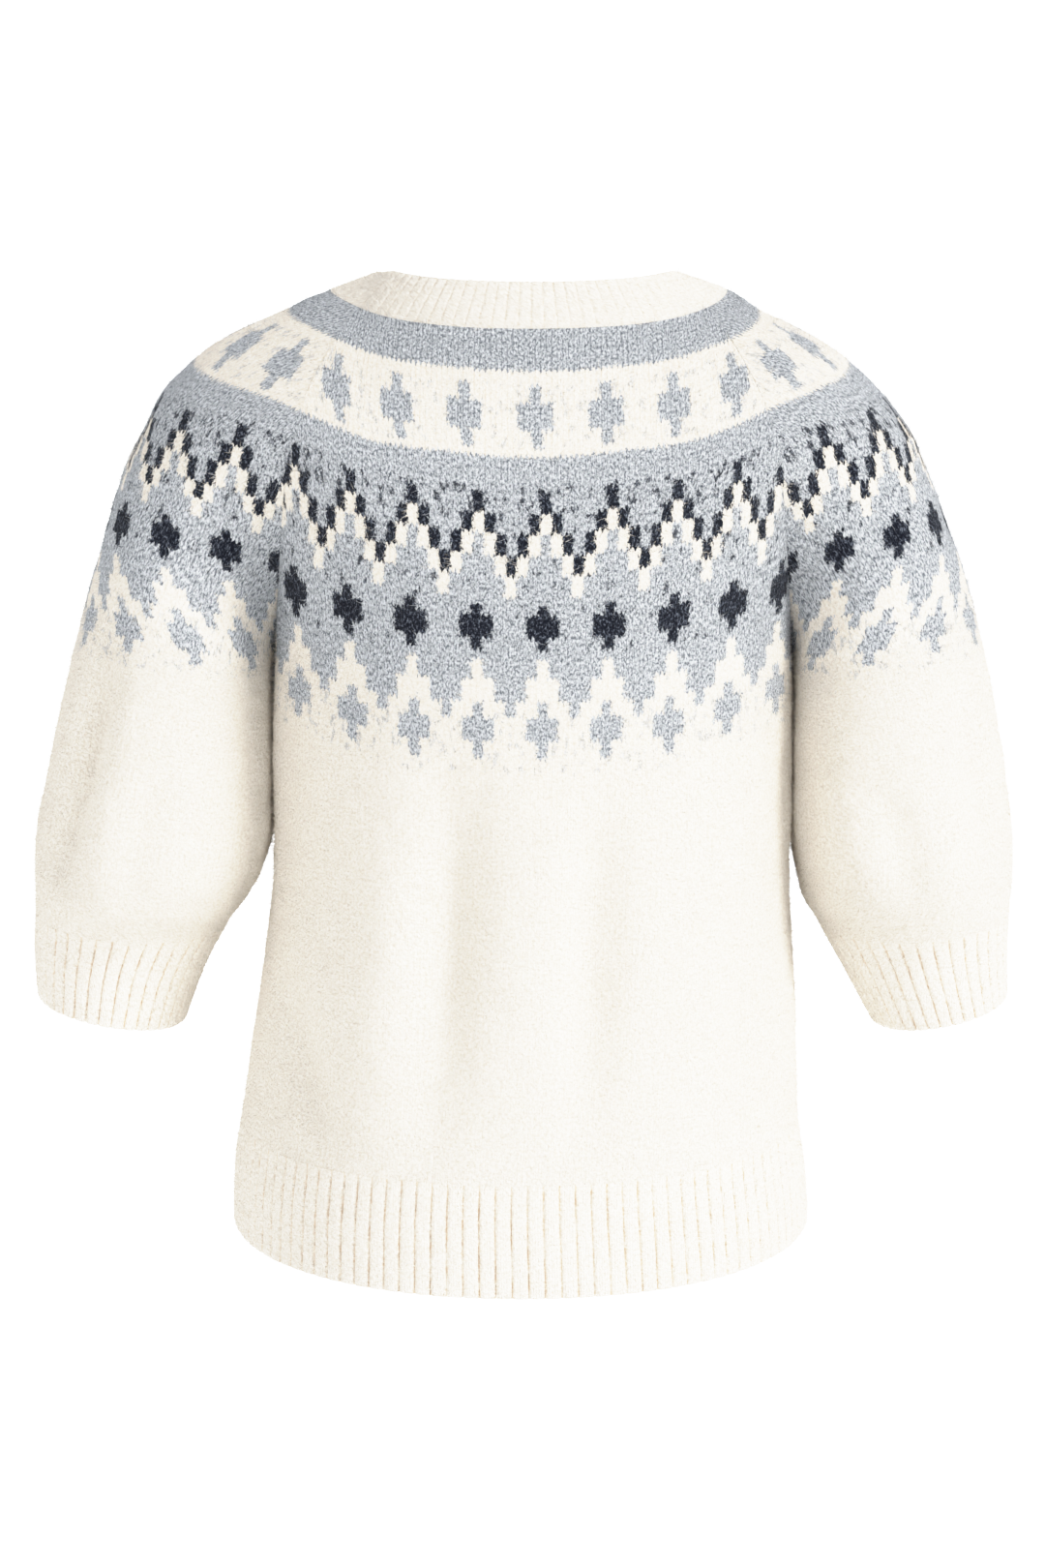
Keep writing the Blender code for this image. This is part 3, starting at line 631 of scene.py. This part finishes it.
# short ways to add nodes to one material or world
class Nodes:
    def __init__(self, block):
        block.use_nodes = True
        self.block = block
        self.nodes = block.node_tree.nodes
        self.links = block.node_tree.links

    # an input's value or link
    def put(self, socket, value):
        if isinstance(value, bpy.types.NodeSocket):
            self.links.new(value, socket)
        elif value is not None:
            socket.default_value = value

    # the same for some inputs of a node, by their names
    def set(self, node, values):
        for name, value in values.items():
            self.put(node.inputs[name], value)

    # a new node, with its first inputs and its settings
    def add(self, kind, *values, **settings):
        node = self.nodes.new("ShaderNode" + kind)
        for key, value in settings.items():
            setattr(node, key, value)
        for socket, value in zip(node.inputs, values):
            self.put(socket, value)
        return node

    def calc(self, operation, *values):
        return self.add("Math", *values, operation=operation).outputs[0]

    def plus(self, first, *others):
        for other in others:
            first = self.calc("ADD", first, other)
        return first

    def times(self, first, *others):
        for other in others:
            first = self.calc("MULTIPLY", first, other)
        return first

    # 1 less a value
    def rest(self, value):
        return self.calc("SUBTRACT", 1.0, value)

    def mix(self, factor, first, second):
        node = self.add("Mix", data_type="RGBA")
        self.put(node.inputs[0], factor)
        for socket, value in ((node.inputs[6], first), (node.inputs[7], second)):
            self.put(socket, (*value, 1.0) if isinstance(value, tuple) else value)
        return node.outputs[2]

    # a noise by its name in yarnNoise, at a place in metres
    def noise(self, u, v, name):
        scale, apart, detail, roughness = yarnNoise[name][:4]
        where = self.add("CombineXYZ", u, v, apart).outputs[0]
        node = self.add("TexNoise")
        self.set(node, dict(Vector=where, Scale=scale, Detail=detail, Roughness=roughness))
        return node.outputs["Fac"]

    def spread(self, value, low, high, newLow=0.0, newHigh=1.0):
        return self.add("MapRange", value, low, high, newLow, newHigh).outputs[0]

    # a colour that changes at each stop and stays the same between
    def steps(self, value, stops):
        node = self.add("ValToRGB", value)
        ramp = node.color_ramp
        ramp.interpolation = "CONSTANT"
        for k, (position, colour) in enumerate(stops):
            stop = ramp.elements[k] if k < 2 else ramp.elements.new(position)
            stop.position = position
            stop.color = (*colour, 1.0)
        return node.outputs["Color"]

    def split(self, colour):
        return self.add("SeparateColor", colour).outputs

    # the two numbers of a UV map
    def read(self, name):
        where = self.add("UVMap", uv_map=name).outputs[0]
        return self.add("SeparateXYZ", where).outputs[:2]

    # noise of strands along the wales
    def strands(self, u, v, name):
        return self.noise(u, self.times(v, yarns["strandDraw"]), name)

    # the same, spread from its range to two new values
    def spreadStrands(self, u, v, name, newLow=0.0, newHigh=1.0):
        return self.spread(self.strands(u, v, name), *yarnNoise[name][4:], newLow, newHigh)

    # a V stitch: two legs that lean in to the foot of the wale, each a rounded bead
    def stitches(self, u, v):
        side = self.besideWale(u)
        lean = self.times(side, yarns["stitchLean"])
        row = self.calc("FRACT", self.plus(self.calc("DIVIDE", v, yarns["course"]), lean))
        bead = self.calc("POWER", self.calc("SINE", self.times(row, math.pi)), yarns["beadRound"])
        return self.times(bead, self.calc("SINE", self.times(side, 2 * math.pi)))

    # distance from the middle of a wale, in wales: 0 to a half
    def besideWale(self, u):
        wale = self.calc("DIVIDE", u, yarns["wale"])
        return self.calc("ABSOLUTE", self.calc("SUBTRACT", self.calc("FRACT", wale), 0.5))

    # the wool's shader, with a colour and a bump of some height, strength and distance
    def finish(self, colour, height, strength, distance):
        bump = self.add("Bump")
        self.set(bump, dict(Strength=strength, Distance=distance, Height=height))
        shader = self.nodes["Principled BSDF"]
        self.set(shader, {"Base Color": colour, "Normal": bump.outputs[0], **woolFinish})
        return self.block


# cream speckled with a darker, warmer cream: partly the yarn's own uneven tone, partly painted
# shade between the tufts
def creamColour(kit, u, v):
    speckle = kit.spread(kit.noise(u, v, "speckle"), *yarnNoise["speckle"][4:])
    return kit.mix(speckle, yarns["creamSpeckleAndTuftShade"], yarns["cream"])


# painted shade in the valley between two wales, which shows more near the neck
def paintedWaleShade(kit, u, v):
    line = kit.spread(kit.besideWale(u), *yarns["waleEdge"])
    broken = kit.spreadStrands(u, v, "waleBreak", yarns["leastLine"])
    amount = kit.spread(v, *yarns["waleFade"], *yarns["paintedWaleShade"])
    return kit.times(line, broken, amount)


# bump height of the brushed surface: V stitches under small curls and finer fibres
def brushed(kit, u, v, stitchHeight):
    beads = kit.times(kit.stitches(u, v), stitchHeight)
    curls = kit.times(kit.noise(u, v, "curls"), yarns["curlHeight"])
    fibres = kit.times(kit.strands(u, v, "fibres"), yarns["fibreHeight"])
    return kit.plus(beads, curls, fibres)


# colour work: the chart read by column and drop, with the lines between colours frayed
def patternedKnit():
    kit = Nodes(bpy.data.materials.new("patternedKnit"))
    u, v = kit.read("knit")
    column, row = kit.read("chart")

    tooth = kit.calc("PINGPONG", kit.calc("DIVIDE", u, yarns["wale"]), 0.5)
    reach = yarns["edgeTooth"] / 2
    shift = kit.spread(tooth, 0.0, 0.5, -reach, reach)
    fray = yarns["edgeFray"] / 2
    wobble = kit.spreadStrands(u, v, "dropFray", -fray, fray)
    row = kit.plus(row, shift, wobble)
    fray = yarns["sideFray"] / 2
    sway = kit.spreadStrands(u, v, "sideFray", -fray, fray)
    apart = kit.calc("PINGPONG", kit.plus(column, sway), chartReach["columns"] / 2)

    # for each column of the chart, one ramp of steps down the rows: shares of cream and charcoal
    end = yarns["chartEnd"]
    reading = kit.calc("DIVIDE", row, end)
    marks = {"g": (0, 0, 0), "c": (1, 0, 0), "k": (0, 1, 0)}

    def stripe(k):
        return kit.steps(reading, [(drop / end, marks[shades[k]]) for drop, shades in yokeChart])

    chosen = stripe(0)
    for k in range(1, chartReach["columns"] // 2 + 1):
        chosen = kit.mix(kit.calc("GREATER_THAN", apart, k - 0.5), chosen, stripe(k))
    creamShare, charcoalShare, _ = kit.split(chosen)

    # stray strands, where their noise is above 1 less how freely they stray
    lot = kit.strands(u, v, "stray")

    def straying(freely, most):
        above = kit.calc("SUBTRACT", lot, kit.rest(freely))
        return kit.times(kit.spread(above, 0.0, yarns["strayEdge"]), most)

    strays = kit.steps(reading, [(drop / end, (a, b, 0)) for drop, a, b in strayChart])
    onCream, onGrey, _ = kit.split(strays)
    creamShare = kit.times(creamShare, kit.rest(straying(onCream, yarns["greyStray"])))
    charcoalShare = kit.calc("MAXIMUM", charcoalShare, straying(onGrey, yarns["charcoalStray"]))
    charcoalShare = kit.times(charcoalShare, kit.rest(creamShare))

    # painted shade between the wales: toward dark grey on grey, toward the grooves' painted shade
    # on cream
    line = paintedWaleShade(kit, u, v)
    grey = kit.mix(kit.spreadStrands(u, v, "melange"), yarns["greyDark"], yarns["greyLight"])
    grey = kit.mix(line, grey, yarns["greyDark"])
    glint = kit.spreadStrands(u, v, "glint")
    charcoal = kit.mix(glint, yarns["charcoal"], yarns["charcoalLight"])
    pale = kit.times(line, yarns["waleShadeOnCream"])
    cream = kit.mix(pale, creamColour(kit, u, v), yarns["groove"])
    colour = kit.mix(creamShare, grey, cream)
    colour = kit.mix(charcoalShare, colour, charcoal)
    return kit.finish(colour, brushed(kit, u, v, yarns["stitchHeight"]), *yarns["bump"])


# the ribs' yarn: cream, with warm dark painted shade down in the grooves, whose lines come and go
def ribKnit(name, grooveShadeShare):
    kit = Nodes(bpy.data.materials.new(name))
    u, v = kit.read("knit")
    rib, _ = kit.read("chart")
    phase = kit.calc("PINGPONG", rib, 0.5)
    sway = kit.spreadStrands(u, v, "grooveSway", -yarns["grooveSway"], yarns["grooveSway"])
    inGroove = kit.spread(kit.plus(phase, sway), 0.0, yarns["grooveEdge"], 1.0, 0.0)
    broken = kit.spreadStrands(u, v, "grooveBreak", yarns["leastGroove"])
    shade = kit.times(inGroove, broken, grooveShadeShare)
    colour = kit.mix(shade, creamColour(kit, u, v), yarns["groove"])
    return kit.finish(colour, brushed(kit, u, v, yarns["ribStitchHeight"]), *yarns["ribBump"])


# each kind of knit: its material and its slot
yokeKnit = (patternedKnit(), "patterned_knit")
edgeKnit = (ribKnit("ribKnit", yarns["grooveShadeShare"]), "rib_knit")
neckKnit = (ribKnit("neckKnit", yarns["neckGrooveShadeShare"]), "rib_knit")
print("materials ready")

panel = {
    "lump": 0.00035,        # felted surface, height of its small and large lumps
    "lumpSize": 0.0055,
    "swell": 0.00045,
    "swellSize": 0.0150,
    "seamGap": 0.00006,
    "seamLap": 0.00012,     # the walls run this far into each other at raglan and side seams
    "seamDip": 0.0002,      # the edge rolls in at a seam
    "seamDipWidth": 0.0030,
    "seamOpen": 0.0005,     # the stitches of a raglan seam show here and there in the pale band
    "seamOpenFrom": 0.0270,
    "seamOpenTo": 0.0710,
    "seamStitch": 3,        # rows from one stitch to the next
    "edgeFade": 0.0040,     # the lumps die down within this distance of an edge
    "edgeShare": 0.20,      # to this share
    "edgeCrowding": 0.30,
    "skip": (3, 3),         # the inner face takes one of so many rows and columns
}


# share of the way across, with columns crowded to both ends
def crowded(columns):
    s = np.linspace(-1, 1, columns)
    k = panel["edgeCrowding"]
    return s * (1 - k) + k * np.sin(np.pi / 2 * s)


# each column of chartLay at the drops, straight between its rows
def layAt(drop):
    known = chartLay["drop"]
    return {name: np.interp(drop, known, column)[:, None] for name, column in chartLay.items()}


# where the points of the body lie in the chart, in columns and metres of drop: evenly spaced
# but for a stretch that grows with the cube of the distance from the motif
def bodyChart(drop, across, beside, facing):
    lay = layAt(drop)
    fromMotif = -facing * beside - lay["beside"]
    near = np.clip(fromMotif, -chartReach["stretched"], chartReach["stretched"])
    drawn = near - lay["stretch"] * (near / chartReach["stretched"]) ** 3
    drawn = drawn + (fromMotif - near) * chartReach["beyond"]
    aside = np.clip((np.abs(across) - chartReach["asideFrom"]) / chartReach["asideOver"], 0, 1)
    ahead = lay["bodyAhead"] * smooth(aside)
    return chartReach["columns"] * drawn / lay["period"], drop[:, None] + ahead


# the same for a sleeve, whose chart is evenly spaced and runs ahead by a sine
def sleeveChart(drop, across, beside, side):
    lay = layAt(drop)
    fromMotif = np.abs(across) - chartReach["sleeveMotif"]
    full = np.sin(np.pi / 2 * np.clip(np.abs(across) / chartReach["sleeveFull"], 0, 1))
    ahead = lay["sleeveAhead"] * full
    return chartReach["columns"] * fromMotif / lay["sleevePeriod"], drop[:, None] + ahead


# a panel or a sleeve: its form raised by two noises and rolled in at the seams by a bell, and an
# inner face moved in along directions that neighbours share at a raglan seam
def knitPanel(name, surface, push, chart, endDrop, cut, seams, seed):
    gap = panel["seamGap"] / 2
    drop = np.linspace(gap, endDrop - gap, cut["rows"])
    lengths = rowLengths(surface, drop)[:, None]
    inBand = (drop > panel["seamOpenFrom"]) & (drop < panel["seamOpenTo"])
    between = np.arange(len(drop)) % panel["seamStitch"] > 0
    opened = np.where(inBand & between, panel["seamOpen"], -panel["seamLap"])
    across = crowded(cut["columns"]) * (1 - opened[:, None] / lengths)
    points, normal, inward, beside = form(surface, push, drop, across)
    yoke = drop < sweater["underarm"]
    for column, (facing, side) in zip((0, -1), seams):
        inward[yoke, column] = raglanInward(drop[yoke], facing, side)
    u, v = beside + sweater["middle"], np.broadcast_to(drop[:, None], beside.shape)
    raised = panel["lump"] * softNoise(u, v, panel["lumpSize"], seed)
    raised += panel["swell"] * softNoise(u, v, panel["swellSize"], seed + 1)
    toSeam = (1 - np.abs(across)) * lengths / 2
    toEnd = np.minimum(v, endDrop - v)
    raised -= panel["seamDip"] * bell(toSeam / panel["seamDipWidth"])
    toEdge = np.minimum(toSeam, toEnd)
    raised *= np.clip(toEdge / panel["edgeFade"] + panel["edgeShare"], 0, 1)
    outer = points + raised[..., None] * normal
    inner = points + sweater["panelThick"] * inward
    places = np.stack([u, v, *chart(drop, across, beside)], -1)
    mesh = wallMesh(name, outer, inner, panel["skip"], places, False)
    piece = addPiece(name, mesh, yokeKnit)
    return piece, (outer, normal, places)


ribbing = {
    "phases": (0.0, 0.05, 0.11, 0.20, 0.34, 0.50, 0.66, 0.80, 0.89, 0.95),
    "grooveWidth": 0.085,   # of a rib's pitch
    "uneven": 0.35,         # how much a groove's depth varies, and over what length
    "unevenSize": 0.0090,
    "crown": 0.00025,
    "waleDip": 0.00015,
    "waleDipWidth": 0.08,   # of a rib's pitch
    "lump": 0.00026,
    "lumpSize": 0.0030,
    "edgeRound": 0.0013,
    "edgeRows": 5,          # round the free edge
    "innerRoll": 0.5,       # how much of the edge's roll the inner face has
    "grooveFade": 0.0070,   # a groove deepens over this drop at its knitted end
    "skip": (2, 10),
}


# a groove at each whole number of ribs, a soft crown between and a dip between the two wales
def ribRelief(phase, depth):
    fromGroove = np.minimum(phase, 1 - phase)
    groove = bell(fromGroove / ribbing["grooveWidth"])
    crown = np.sin(np.pi * phase) ** 2
    dip = bell((phase - 0.5) / ribbing["waleDipWidth"])
    return ribbing["crown"] * crown - ribbing["waleDip"] * dip - depth * groove


# a ribbed band from one drop to another: its form with ribRelief, and a quarter circle at its
# free edge, which is its start or its end
def ribBand(name, surface, cut, knit, seed):
    (start, end), ribs, freeStart = cut["drops"], cut["ribs"], cut["freeStart"]
    gap, bend = panel["seamGap"] / 2, ribbing["edgeRound"]
    low, high = (start, end - gap) if freeStart else (start + gap, end)
    drop = np.linspace(low, high, cut["rows"])
    free = low + bend * (1 - np.cos(np.linspace(0, np.pi / 2, ribbing["edgeRows"])))
    if freeStart:
        drop = np.concatenate([free, drop[2:]])
    else:
        drop = np.concatenate([drop[:-2], (low + high - free)[::-1]])
    middle = len(drop) // 2
    if len(drop) % 2 == 0:  # rows less one divide by the skip of 2
        drop = np.insert(drop, middle, drop[middle - 1 : middle + 1].mean())
    rib = (np.arange(ribs)[:, None] + np.array(ribbing["phases"])).ravel()
    rib = np.append(rib, ribs)
    across = np.broadcast_to(rib / ribs * 2 - 1, (len(drop), len(rib)))
    if not cut["closed"]:
        across = across * (1 - panel["seamGap"] / rowLengths(surface, drop)[:, None])
    points, normal, inward, beside = form(surface, noPush, drop, across)
    u, v = beside + sweater["middle"], np.broadcast_to(drop[:, None], beside.shape)
    toFree = np.clip((v - low) if freeStart else (high - v), 0, bend)
    toSeam = np.clip((high - v) if freeStart else (v - low), 0, ribbing["grooveFade"])
    fade = np.sin(np.pi / 2 * toSeam / ribbing["grooveFade"])
    uneven = 1 + ribbing["uneven"] * softNoise(u, v, ribbing["unevenSize"], seed)
    relief = fade * ribRelief(rib % 1, cut["groove"] * uneven)
    relief += ribbing["lump"] * softNoise(u, v, ribbing["lumpSize"], seed + 1)
    rolled = bend - np.sqrt(bend**2 - (bend - toFree) ** 2)
    outer = points + relief[..., None] * normal + rolled[..., None] * inward
    inner = points + (sweater["ribThick"] - ribbing["innerRoll"] * rolled[..., None]) * inward
    places = np.stack([u, v, np.broadcast_to(rib, beside.shape), v], -1)
    if cut["closed"]:
        outer, inner, normal = outer[:, :-1], inner[:, :-1], normal[:, :-1]
    mesh = wallMesh(name, outer, inner, ribbing["skip"], places, cut["closed"])
    piece = addPiece(name, mesh, knit)
    return piece, (outer, normal, places[:, : outer.shape[1]])


haze = {
    "length": (0.0018, 0.0070),
    "lengthPower": 2,       # more than 1 makes more of the fibres short
    "width": 0.00020,
    "rooting": 0.0004,
    "lean": (30, 84),       # degrees off the surface's normal
    "leanPower": 0.8,       # less than 1 makes more of them lie flat
    "turning": 0.25,        # how far a fibre's face turns from the cloth's
    "glint": 0.15,          # and its shading
}


# each fibre is one narrow triangle from a root on the outer grid, leaning any way, shaded nearly
# as the cloth under it and coloured by its root's place in the knit
def addHaze(name, grid, cut, knit, seed):
    outer, normal, places = grid
    fibres = cut["fibres"]
    random = np.random.default_rng(seed)
    down, over = np.diff(outer, axis=0)[:, :-1], np.diff(outer, axis=1)[:-1]
    area = np.linalg.norm(np.cross(down, over), axis=2)
    total = area.ravel().cumsum()
    cell = np.searchsorted(total, random.random(fibres) * total[-1])
    row, column = np.unravel_index(np.minimum(cell, area.size - 1), area.shape)
    a, b = random.random((2, fibres, 1))
    root = outer[row, column] + a * down[row, column] + b * over[row, column]
    place = places[row, column] * (1 - a) * (1 - b) + places[row + 1, column] * a * (1 - b)
    place = place + places[row, column + 1] * (1 - a) * b + places[row + 1, column + 1] * a * b
    n = normal[row, column]
    along = unit(down[row, column])
    side = np.cross(n, along)
    turn = random.random((fibres, 1)) * 2 * np.pi
    low, high = np.radians(haze["lean"])
    lean = low + (high - low) * random.random((fibres, 1)) ** haze["leanPower"]
    flat = along * np.cos(turn) + side * np.sin(turn)
    way = n * np.cos(lean) + flat * np.sin(lean)
    short, long = haze["length"]
    length = short + (long - short) * random.random((fibres, 1)) ** haze["lengthPower"]
    facing = n + haze["turning"] * random.normal(size=(fibres, 3))
    half = unit(np.cross(way, facing)) * haze["width"] / 2
    foot = root - haze["rooting"] * n
    points = np.stack([foot - half, foot + half, root + length * way], 1).reshape(-1, 3)
    shaded = unit(n + haze["glint"] * random.normal(size=(fibres, 3)))
    faces = np.arange(3 * fibres).reshape(-1, 3).tolist()
    mesh = mappedMesh(name, points, faces, np.repeat(place, 3, 0))
    mesh.normals_split_custom_set_from_vertices(np.repeat(shaded, 3, 0).tolist())
    return addPiece(name, mesh, knit)


# a panel or a sleeve, with its haze and the rib that is knitted on to its lower edge
def knitCloth(name, ribName, solids, surface, push, chart, seams, cut, ribCut, seed):
    end = ribCut["drops"][0]
    piece, grid = knitPanel(name + "_knit", surface, push, chart, end, cut, seams, seed)
    fuzz = addHaze(name + "_haze", grid, cut, yokeKnit, seed + 5)
    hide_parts(solids[0])
    piece, grid = ribBand(ribName, surface, ribCut, edgeKnit, seed + 8)
    fuzz = addHaze(ribName + "_haze", grid, ribCut, edgeKnit, seed + 9)
    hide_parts(solids[1])


# the cuts: rows and columns of points, or ribs; flat size and area; fibres of the haze. A rib has
# the drops of its start and end and the depth of its grooves, and may be closed to a ring or have
# its free edge at the start.
bodyCut = {"rows": 211, "columns": 211, "flat": (0.44, 0.49), "area": 0.19, "fibres": 120000}
sleeveCut = {"rows": 175, "columns": 175, "flat": (0.40, 0.39), "area": 0.135, "fibres": 84000}
hemCut = {"rows": 25, "ribs": 53, "flat": (0.46, 0.070), "fibres": 20000,
          "drops": (0.4815, 0.5465), "groove": 0.0014, "closed": False, "freeStart": False}
cuffCut = {"rows": 23, "ribs": 38, "flat": (0.32, 0.062), "fibres": 12000,
           "drops": (0.3920, 0.4470), "groove": 0.0014, "closed": True, "freeStart": False}
neckCut = {"rows": 15, "ribs": 84, "flat": (0.54, 0.034), "fibres": 12000,
           "drops": (sweater["neckTop"], 0.0), "groove": 0.0005, "closed": True, "freeStart": True}

for name, facing, seed in (("back", back, 11), ("front", front, 21)):
    surface, chart = partial(body, facing=facing), partial(bodyChart, facing=facing)
    push = partial(foldDepth, bodyFolds, facing, -facing)
    seams = ((facing, facing), (facing, -facing))
    solids = (name + "_panel", "hem_rib_" + name)
    knitCloth(name, name + "_hem", solids, surface, push, chart, seams, bodyCut, hemCut, seed)
print("back and front knitted")

for name, side, seed in (("left", left, 31), ("right", right, 41)):
    surface, chart = partial(sleeve, side=side), partial(sleeveChart, side=side)
    push = partial(foldDepth, sleeveFolds, side, side)
    seams = ((-side, side), (side, side))
    solids = ("sleeve_" + name, "cuff_" + name)
    knitCloth(name + "_sleeve", name + "_cuff", solids, surface, push, chart, seams, sleeveCut,
              cuffCut, seed)
print("sleeves knitted")

piece, grid = ribBand("neck_rib", neck, neckCut, neckKnit, 51)
fuzz = addHaze("neck_haze", grid, neckCut, neckKnit, 55)
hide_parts("neckband")
print("neckband knitted")

stage = {
    "floorDepth": -1.60,
    "floorRadius": 120.0,
    "floorCorners": 64,
    "floor": {              # its shader's inputs
        "Base Color": (0.90, 0.89, 0.87, 1.0),
        "Roughness": 1.0,
        "Specular IOR Level": 0.0,
        "Emission Color": (0.44, 0.435, 0.42, 1.0),
        "Emission Strength": 1.0,
    },
    "horizon": (0.85, 0.86, 0.88),
    "zenith": (0.57, 0.575, 0.59),
    "white": 4.0,           # what the floor and the sky show the camera
    "camera": (0.0, -2.05, 0.235),
    "pitch": 14.3,
    "lens": 83.56,
    "farthest": 500.0,
    "lampColour": (1.03, 1.0, 0.955),
    # turn round Z from straight behind the camera, height, strength and softness; degrees
    "lamps": ((56, 31, 3.40, 18), (-36, 28, 0.95, 50), (180, 55, 0.80, 50)),
    "bounces": (12, 14),    # diffuse ones, and all
    # the film: light up to the knee is kept, and more than that closes in on white
    "knee": 0.70,
    "span": 2.50,
    "curveSteps": 16,
}

corner = np.linspace(0, 2 * np.pi, stage["floorCorners"], endpoint=False)
ring = stage["floorRadius"] * np.stack([np.cos(corner), np.sin(corner), 0 * corner], -1)
ring[:, 2] = stage["floorDepth"]
mesh = bpy.data.meshes.new("floor")
mesh.from_pydata(ring.tolist(), [], [tuple(range(len(corner)))])
floor = bpy.data.objects.new("floor", mesh)
scene.collection.objects.link(floor)
kit = Nodes(bpy.data.materials.new("paleFloor"))
matt = kit.nodes["Principled BSDF"]
kit.set(matt, stage["floor"])
toCamera = kit.add("LightPath").outputs["Is Camera Ray"]
plain = kit.add("Emission", None, stage["white"]).outputs[0]
shown = kit.add("MixShader", toCamera, matt.outputs[0], plain).outputs[0]
kit.set(kit.nodes["Material Output"], {"Surface": shown})
mesh.materials.append(kit.block)

# the sky lights from its horizon more than from its zenith, and is plain white to the eye
kit = Nodes(bpy.data.worlds.new("sky"))
direction = kit.add("TexCoord").outputs["Generated"]
upward = kit.add("SeparateXYZ", direction).outputs["Z"]
glow = kit.mix(upward, stage["horizon"], stage["zenith"])
toCamera = kit.add("LightPath").outputs["Is Camera Ray"]
kit.set(kit.nodes["Background"], {"Color": kit.mix(toCamera, glow, (stage["white"],) * 3)})
scene.world = kit.block

for k, (turn, height, strength, softness) in enumerate(stage["lamps"]):
    lamp = bpy.data.lights.new("sun%d" % k, "SUN")
    lamp.energy = strength
    lamp.color = stage["lampColour"]
    lamp.angle = math.radians(softness)
    holder = bpy.data.objects.new("sun%d" % k, lamp)
    holder.rotation_euler = (math.radians(90 - height), 0, math.radians(turn))
    scene.collection.objects.link(holder)

camera = bpy.data.objects.new("camera", bpy.data.cameras.new("camera"))
camera.data.lens = stage["lens"]
camera.data.clip_end = stage["farthest"]
camera.location = stage["camera"]
camera.rotation_euler = (math.radians(90 - stage["pitch"]), 0, 0)
scene.collection.objects.link(camera)
scene.camera = camera

scene.cycles.diffuse_bounces, scene.cycles.max_bounces = stage["bounces"]
scene.view_settings.view_transform = "Standard"
scene.view_settings.use_curve_mapping = True
film = scene.view_settings.curve_mapping
film.white_level = (stage["span"],) * 3
curve = film.curves[3]  # the one for all colours
room = 1 - stage["knee"]
for light in np.linspace(stage["knee"], stage["span"], stage["curveSteps"])[:-1]:
    shownAs = stage["knee"] + room * (1 - math.exp((stage["knee"] - light) / room))
    curve.points.new(light / stage["span"], shownAs)
film.update()
print("stage set")
